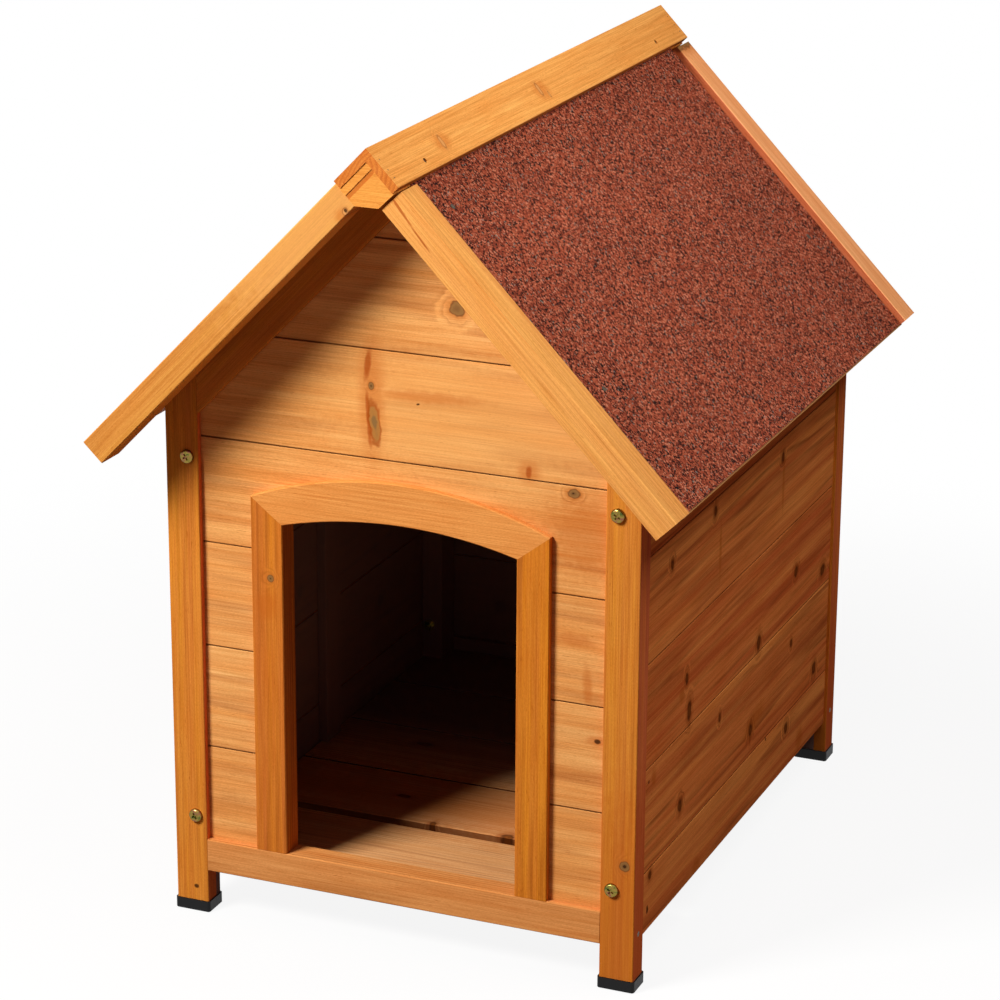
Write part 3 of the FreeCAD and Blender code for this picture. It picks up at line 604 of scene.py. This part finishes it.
gable_right = stained_softwood(
    "Stained spruce gable batten, right", "down the right slope", FRAME_TONES, rings=0.4, seed=14.0,
)
gable_left = stained_softwood(
    "Stained spruce gable batten, left", "down the left slope", FRAME_TONES, rings=0.4, seed=15.0,
)
bearers = stained_softwood(
    "Planed spruce bearer", "front to back", FLOOR_TONES, rings=0.4, seed=18.0, shade_inside=None,
)

# %% Roof timbers
BARGE_HEART = (35.0, -470.0)           # mm: the barge boards were sawn lengthwise, far from the middle
RIDGE_HEART = (20.0, -70.0)

barge_right = stained_softwood(
    "Stained spruce barge board, right", "down the right slope", BARGE_TONES, heart=BARGE_HEART, rings=0.3,
    seed=6.0, shade_inside=None,
    marks=(("rust", 66, -14, 20, 1.4, -6), ("rust", 104, -18, 15, 1.1, -4)),
)
# The far right barge board is a copy whose front and back faces carry painted shade: the tint darkens and
# reddens them where the ridge shades its front.
barge_far_painted_shade = stained_softwood(
    "Stained spruce barge board, far right", "down the right slope", BARGE_ROSY_TONES, heart=BARGE_HEART,
    rings=0.4, seed=26.0, shade_inside=None, edges=(2, (0.62, 0.36, 0.36)),
    marks=(("knot", 45, 0, 16, 9, 0),),
)
barge_left = stained_softwood(
    "Stained spruce barge board, left", "down the left slope", BARGE_SHADY_TONES, heart=BARGE_HEART,
    rings=0.3, seed=8.0, shade_inside=None,
    marks=(
        ("speck", 64, -27, 1.8, 2.2, 0),
        ("pale knot", 65, -28, 4, 5, 20),
        ("stain", 70, -28, 9, 7, 0),
        ("pale", 100, -20, 130, 45, 0),
    ),
)
ridge_right = stained_softwood(
    "Stained spruce ridge board, right", "ridge, right", RIDGE_TONES, heart=RIDGE_HEART, rings=0.3, seed=12.0,
    shade_inside=None,
    marks=(
        ("pale knot", -293, 27, 3.5, 9, 8),
        ("pale knot", -12, 24, 3.5, 9, 8),
        ("pale knot", 2, 34, 2, 5, 8),
        ("stain", -293, 27, 16, 10, 0),
        ("stain", -8, 26, 16, 12, 0),
    ),
)
ridge_left = stained_softwood(
    "Stained spruce ridge board, left", "ridge, left", RIDGE_TONES, heart=RIDGE_HEART, rings=0.3, seed=13.0,
    shade_inside=None,
)
ridge_blocks = stained_softwood(
    "Stained spruce ridge block", "left to right", BLOCK_TONES, rings=0.3, seed=16.0, shade_inside=None,
    marks=(("stripe", -10, 893, 34, 2.8, 46),),
)
print("timbers:", sum(1 for material in bpy.data.materials if "spruce" in material.name))

# %% [markdown]
# ## Plywood under the felt
#
# The roof panel is thin plywood. Only its edge shows at the eaves, as a light line with a darker ply in the
# middle. The plies are layers, so the colour follows the height above the slope. A second, mirrored version
# serves the left slope.

# %% Plywood
PLY_MIDDLE = -12.5                     # mm above the tops of the barge boards
PLY_THICKNESS = 1.7
PLY_FIBRE_MM = (3, 3, 60)
FACE_PLY, CORE_PLY = ("#d29a5c", "#b9793c"), ("#a2642f", "#83491f")


def plywood(name, grain):
    """Three-ply birch or poplar, lightly stained."""
    material = new_material(name)
    tree = material.node_tree
    place, (_, height, _) = timber_place(tree, grain)
    from_middle = add(tree, "ShaderNodeMath", {0: height, 1: PLY_MIDDLE}, operation="SUBTRACT")
    from_middle = add(tree, "ShaderNodeMath", {0: from_middle}, operation="ABSOLUTE")
    core = add(tree, "ShaderNodeMath", {0: from_middle, 1: PLY_THICKNESS / 2}, operation="LESS_THAN")
    fibre = noise_at(tree, place, PLY_FIBRE_MM, 21.0, 3.0)
    plies = []
    for light, dark in (FACE_PLY, CORE_PLY):
        tones = {0: fibre, 6: linear(light), 7: linear(dark)}
        plies.append(add(tree, "ShaderNodeMix", tones, 2, data_type="RGBA"))
    colour = add(tree, "ShaderNodeMix", {0: core, 6: plies[0], 7: plies[1]}, 2, data_type="RGBA")
    bump = add(tree, "ShaderNodeBump", {"Strength": 0.3, "Distance": 0.2 * MM, "Height": fibre})
    shader = add(
        tree, "ShaderNodeBsdfPrincipled",
        {"Base Color": colour, "Roughness": 0.62, "IOR": 1.48, "Specular IOR Level": 0.12, "Normal": bump},
    )
    add(tree, "ShaderNodeOutputMaterial", {0: shader})
    return material


plywood_right = plywood("Stained plywood, right", "down the right slope")
plywood_left = plywood("Stained plywood, left", "down the left slope")
print("plywood:", plywood_right.name, "and", plywood_left.name)

# %% [markdown]
# ## Mineral felt
#
# The roofing felt is bitumen sheet with crushed, coloured stone pressed into it. From a step away it is brick
# red, and close up it is a speckle of red, pink, maroon and nearly black grains, with a few greyish ones.
# Real grains are about 1 mm across. They are drawn about 2 mm across, so that each still shows in the
# picture. A cell pattern gives every grain its own colour, and the distance inside a cell gives it a rounded
# height. The edges of the cells are bent by noise, since crushed stone has no straight edges.

# %% Felt
GRAIN_MM = 2.0
JITTER_MM = GRAIN_MM / 0.84            # lumps of the noise that bends the edges of the grains
PUSH_MM = 0.8 * GRAIN_MM               # how far it pushes them
DRIFTS_PER_METRE = 14.0                # the whole sheet is a little lighter and darker, 70 mm at a time
STONES = (
    # colour of the grains, from this share of them up
    (0.0, "#180b07"), (0.13, "#451b11"), (0.28, "#783220"), (0.44, "#95422a"), (0.66, "#ad583a"),
    (0.88, "#c47a5c"), (0.975, "#7f756a"),
)


def mineral_felt(name):
    """Bitumen roofing felt with crushed stone, brick red."""
    material = new_material(name)
    tree = material.node_tree
    point = add(tree, "ShaderNodeTexCoord", out=3)
    lumps = {"Vector": point, "Scale": 1 / (JITTER_MM * MM), "Detail": 2.0}
    jitter = add(tree, "ShaderNodeTexNoise", lumps, 1)
    push = [PUSH_MM * MM] * 3
    shifted = add(tree, "ShaderNodeVectorMath", {0: jitter, 1: push, 2: point}, operation="MULTIPLY_ADD")
    grains = {"Vector": shifted, "Scale": 1 / (GRAIN_MM * MM), "Randomness": 1.0}
    cells = add(tree, "ShaderNodeTexVoronoi", grains, None)
    pick = add(tree, "ShaderNodeSeparateColor", {0: cells.outputs["Color"]}, None)
    stone = add(tree, "ShaderNodeValToRGB", {0: pick.outputs[0]}, None)
    ramp = stone.color_ramp
    ramp.interpolation = "CONSTANT"
    for element, (start, tone) in zip(ramp.elements, STONES[:2]):
        element.position = start
        element.color = linear(tone)
    for start, tone in STONES[2:]:
        ramp.elements.new(start).color = linear(tone)
    broad = add(tree, "ShaderNodeTexNoise", {"Vector": point, "Scale": DRIFTS_PER_METRE, "Detail": 3.0})
    value = add(tree, "ShaderNodeMapRange", {0: broad, 1: 0.3, 2: 0.7, 3: 0.92, 4: 1.06})
    colour = add(tree, "ShaderNodeVectorMath", {0: stone.outputs[0], 1: value}, operation="MULTIPLY")
    rounded = {0: pick.outputs[1], 1: cells.outputs["Distance"]}
    height = add(tree, "ShaderNodeMath", rounded, operation="SUBTRACT")
    bump = add(tree, "ShaderNodeBump", {"Strength": 0.8, "Distance": 0.7 * MM, "Height": height})
    shader = add(
        tree, "ShaderNodeBsdfPrincipled",
        {"Base Color": colour, "Roughness": 0.9, "IOR": 1.5, "Specular IOR Level": 0.1, "Normal": bump},
    )
    add(tree, "ShaderNodeOutputMaterial", {0: shader})
    return material


felt = mineral_felt("Brick-red mineral felt")
print("felt grains drawn", GRAIN_MM, "mm across, in", len(STONES), "colours")

# %% [markdown]
# ## Plastic feet and zinc-plated steel
#
# The foot caps are injection-moulded black polythene: nearly black, with the faint, fine texture of the mould
# and a soft sheen. The bolts are steel with a yellow-chromated zinc plating, which is never one colour: it
# drifts between olive, straw and rose. The screws and brads are the same plating gone dull. The real grit of
# both surfaces is finer than a pixel, so it is drawn a little under 1 mm, only to soften the highlights.

# %% Moulded plastic
MOULD_GRIT_MM = 0.8


def moulded_plastic(name, tone):
    """Black polythene with the fine texture of its mould."""
    material = new_material(name)
    tree = material.node_tree
    base = linear(tone)
    point = add(tree, "ShaderNodeTexCoord", out=3)
    lumps = {"Vector": point, "Scale": 1 / (MOULD_GRIT_MM * MM), "Detail": 2.0}
    grit = add(tree, "ShaderNodeTexNoise", lumps)
    rough = add(tree, "ShaderNodeMapRange", {0: grit, 1: 0.3, 2: 0.7, 3: 0.42, 4: 0.55})
    bump = add(tree, "ShaderNodeBump", {"Strength": 0.15, "Distance": 0.1 * MM, "Height": grit})
    shader = add(
        tree, "ShaderNodeBsdfPrincipled",
        {"Base Color": base, "Roughness": rough, "IOR": 1.5, "Specular IOR Level": 0.2, "Normal": bump},
    )
    add(tree, "ShaderNodeOutputMaterial", {0: shader})
    return material


black_plastic = moulded_plastic("Moulded black polythene", "#0d0d0e")
print("feet:", black_plastic.name)

# %% Plated steel
PLATING_GRIT_MM = 0.7
PLATING_DRIFT_MM = 5.0                 # the way over which the plating changes its colour


def plated_steel(name, tones, roughness):
    """Zinc-plated steel whose colour drifts over a few millimetres, through three tones."""
    material = new_material(name)
    tree = material.node_tree
    point = add(tree, "ShaderNodeTexCoord", out=3)
    lumps = {"Vector": point, "Scale": 1 / (PLATING_DRIFT_MM * MM), "Detail": 2.0}
    drift = add(tree, "ShaderNodeTexNoise", lumps)
    plating = add(tree, "ShaderNodeValToRGB", {0: drift}, None)
    ramp = plating.color_ramp
    ramp.elements[0].position = 0.32
    ramp.elements[0].color = linear(tones[0])
    ramp.elements[1].position = 0.68
    ramp.elements[1].color = linear(tones[2])
    ramp.elements.new(0.5).color = linear(tones[1])
    lumps = {"Vector": point, "Scale": 1 / (PLATING_GRIT_MM * MM), "Detail": 2.0}
    grit = add(tree, "ShaderNodeTexNoise", lumps)
    smoother, rougher = roughness - 0.06, roughness + 0.08
    rough = add(tree, "ShaderNodeMapRange", {0: grit, 1: 0.3, 2: 0.7, 3: smoother, 4: rougher})
    bump = add(tree, "ShaderNodeBump", {"Strength": 0.2, "Distance": 0.08 * MM, "Height": grit})
    shader = add(
        tree, "ShaderNodeBsdfPrincipled",
        {"Base Color": plating.outputs[0], "Metallic": 1.0, "Roughness": rough, "Normal": bump},
    )
    add(tree, "ShaderNodeOutputMaterial", {0: shader})
    return material


yellow_zinc = plated_steel("Yellow-zinc steel", ("#4c5a2c", "#96803c", "#8c5448"), 0.30)
dull_steel = plated_steel("Dull plated steel", ("#3b352c", "#574b39", "#4a3a33"), 0.5)
print("materials so far:", len(bpy.data.materials))

# %% [markdown]
# ## Giving each piece its finish
#
# The pieces keep the shapes that the frame gives them. Each takes the material whose grain runs its way, by
# the first letters of its name, and the more particular names come first.

# %% Finishes by name
FINISHES = (
    ("post_", posts),
    ("corner_batten_", posts),
    ("middle_batten_", posts),
    ("door_jamb_", jambs),
    ("door_lintel", lintel),
    ("rail_screws", dull_steel),
    ("rail_", rails),
    ("gable_batten_front_left", gable_left),
    ("gable_batten_rear_left", gable_left),
    ("gable_batten_", gable_right),
    ("front_", boards_front),
    ("rear_", boards_rear),
    ("side_boards_left", boards_left),
    ("side_boards_right", boards_right),
    ("floor_boards", floor_timber),
    ("floor_", bearers),
    ("barge_board_front_left", barge_left),
    ("barge_board_rear_left", barge_left),
    ("barge_board_rear_right", barge_far_painted_shade),
    ("barge_board_", barge_right),
    ("roof_deck_left", plywood_left),
    ("roof_deck_right", plywood_right),
    ("roof_felt_", felt),
    ("ridge_board_left", ridge_left),
    ("ridge_board_right", ridge_right),
    ("ridge_block_", ridge_blocks),
    ("foot_cap_", black_plastic),
    ("bolt", yellow_zinc),
    ("roof_screws", dull_steel),
    ("ridge_screws", dull_steel),
    ("ridge_nails", dull_steel),
)


def finish(name, piece):
    """Put a piece's material in its slot."""
    material = next(material for start, material in FINISHES if name.startswith(start))
    if not piece.material_slots:
        piece.data.materials.append(material)
    for slot in piece.material_slots:
        slot.material = material


for name, piece in nodes.items():
    finish(name, piece)
print("pieces finished:", len(nodes))

# %% [markdown]
# ## Camera
#
# The kennel was photographed from the right of its front and from above, with a long lens. The camera stands
# about 3.4 m away. Its place was worked out from the edges of the kennel in the photograph. It looks at a
# point in front of the doorway, from a distance and two angles, and is turned by a third of a degree.

# %% The camera
LENS_MM = 121.97
SENSOR_MM = 36
AIM = Vector((195.4, -549.2, 616.7)) * MM
DISTANCE = 3386 * MM
FARTHEST = 50                          # m: past this the camera draws nothing
AZIMUTH, ELEVATION, ROLL = math.radians(22.42), math.radians(18.695), math.radians(0.339)

back = Vector((
    math.sin(AZIMUTH) * math.cos(ELEVATION),
    -math.cos(AZIMUTH) * math.cos(ELEVATION),
    math.sin(ELEVATION),
))
lens = bpy.data.cameras.new("Camera")
lens.lens = LENS_MM
lens.sensor_width = SENSOR_MM
lens.clip_end = FARTHEST
camera = bpy.data.objects.new("Camera", lens)
bpy.context.scene.collection.objects.link(camera)
camera.location = AIM + back * DISTANCE
camera.rotation_euler = back.to_track_quat("Z", "Y").to_matrix().to_4x4().to_euler()
camera.rotation_euler.rotate_axis("Z", ROLL)
bpy.context.scene.camera = camera
print("camera at", [round(c, 3) for c in camera.location])

# %% [markdown]
# ## Floor
#
# The kennel stands on a plain pale floor. To the camera the floor is close to white, and keeps a little of
# the kennel's shadow. To the light it is a mid grey, so that it doesn't light the kennel's underside and
# shaded wall more than the studio did.

# %% What is seen and what only lights
WHITE = (1, 1, 1, 1)


def seen_rays(tree):
    """1 for rays by which something is seen, straight, mirrored or through; 0 for rays that only light it."""
    ray = add(tree, "ShaderNodeLightPath", out=None)
    seen = ray.outputs["Is Camera Ray"]
    for kind in ("Is Glossy Ray", "Is Transmission Ray"):
        seen = add(tree, "ShaderNodeMath", {0: seen, 1: ray.outputs[kind]}, operation="MAXIMUM")
    return seen


# %% Finish of the floor
FLOOR_WHITE = 0.90                     # how much of the floor near the kennel is plain white
WHITE_FROM, WHITE_TO = 0.6, 1.6        # m from the kennel's middle, where the rest turns plain white too
CLOTH_TONE, BOUNCE_TONE = "#e8e6e2", "#7a6e66"


def pale_floor():
    """A floor that is nearly white in the picture and mid grey to the light."""
    material = new_material("Pale studio floor")
    tree = material.node_tree
    seen = seen_rays(tree)
    cloth = add(tree, "ShaderNodeBsdfDiffuse", {"Color": linear(CLOTH_TONE)})
    white = add(tree, "ShaderNodeEmission", {"Color": WHITE, "Strength": 1.0})
    point = add(tree, "ShaderNodeTexCoord", out=3)
    away = add(tree, "ShaderNodeVectorMath", {0: point}, 1, operation="LENGTH")
    plain = add(
        tree, "ShaderNodeMapRange", {0: away, 1: WHITE_FROM, 2: WHITE_TO, 3: FLOOR_WHITE, 4: 1.0},
        interpolation_type="SMOOTHSTEP",
    )
    shown = add(tree, "ShaderNodeMixShader", {0: plain, 1: cloth, 2: white})
    grey = add(tree, "ShaderNodeBsdfDiffuse", {"Color": linear(BOUNCE_TONE)})
    both = add(tree, "ShaderNodeMixShader", {0: seen, 1: grey, 2: shown})
    add(tree, "ShaderNodeOutputMaterial", {0: both})
    return material


# %% The floor
FLOOR_HALF = 6.0                       # m
FLOOR_DROP = 0.5 * MM                  # keeps the floor from flickering through the feet

shape = bmesh.new()
bmesh.ops.create_grid(shape, x_segments=1, y_segments=1, size=FLOOR_HALF)
floor_mesh = bpy.data.meshes.new("Floor")
shape.to_mesh(floor_mesh)
shape.free()
floor = bpy.data.objects.new("Floor", floor_mesh)
floor.data.materials.append(pale_floor())
bpy.context.scene.collection.objects.link(floor)
floor.location.z = -FLOOR_DROP
print("floor", 2 * FLOOR_HALF, "m across")

# %% [markdown]
# ## Light
#
# The photograph has one large soft light at the upper left of the front. It throws soft shadows to the right
# of the posts and deep into the left gable. A weaker one above the right slope lights the roof. Everything
# else is a weak, rosy fill, so the shaded wall and the inside stay dark. The fill is all that the world lends
# to the light: where it is seen itself, behind the kennel or in a bolt's head, it is white.

# %% The studio lights
MIDDLE = (0.0, -0.2, 0.5)              # m, what both lights look at
FILL_TONE, FILL_STRENGTH = "#ffccd4", 0.10


def softbox(name, place, aim, size, power):
    """A square area light that looks at a point, in metres and watts."""
    data = bpy.data.lights.new(name, "AREA")
    data.shape = "SQUARE"
    data.size = size
    data.energy = power
    light = bpy.data.objects.new(name, data)
    light.visible_camera = False
    light.location = place
    light.rotation_euler = (Vector(place) - Vector(aim)).to_track_quat("Z", "Y").to_euler()
    bpy.context.scene.collection.objects.link(light)
    return light


key = softbox("Key light", place=(-1.38, -2.38, 2.73), aim=MIDDLE, size=1.05, power=161)
overhead = softbox("Overhead light", place=(0.78, -0.12, 1.90), aim=MIDDLE, size=1.1, power=18.5)
print("lights:", key.name, "and", overhead.name)

# %% The world
world = bpy.data.worlds.new("Studio")
world.use_nodes = True
world.node_tree.nodes.clear()
bright = seen_rays(world.node_tree)
fill = add(world.node_tree, "ShaderNodeBackground", {"Color": linear(FILL_TONE), "Strength": FILL_STRENGTH})
white = add(world.node_tree, "ShaderNodeBackground", {"Color": WHITE, "Strength": 1.0})
sky = add(world.node_tree, "ShaderNodeMixShader", {0: bright, 1: fill, 2: white})
add(world.node_tree, "ShaderNodeOutputWorld", {0: sky})
bpy.context.scene.world = world
bpy.context.scene.view_settings.view_transform = "Standard"
print("world:", world.name)
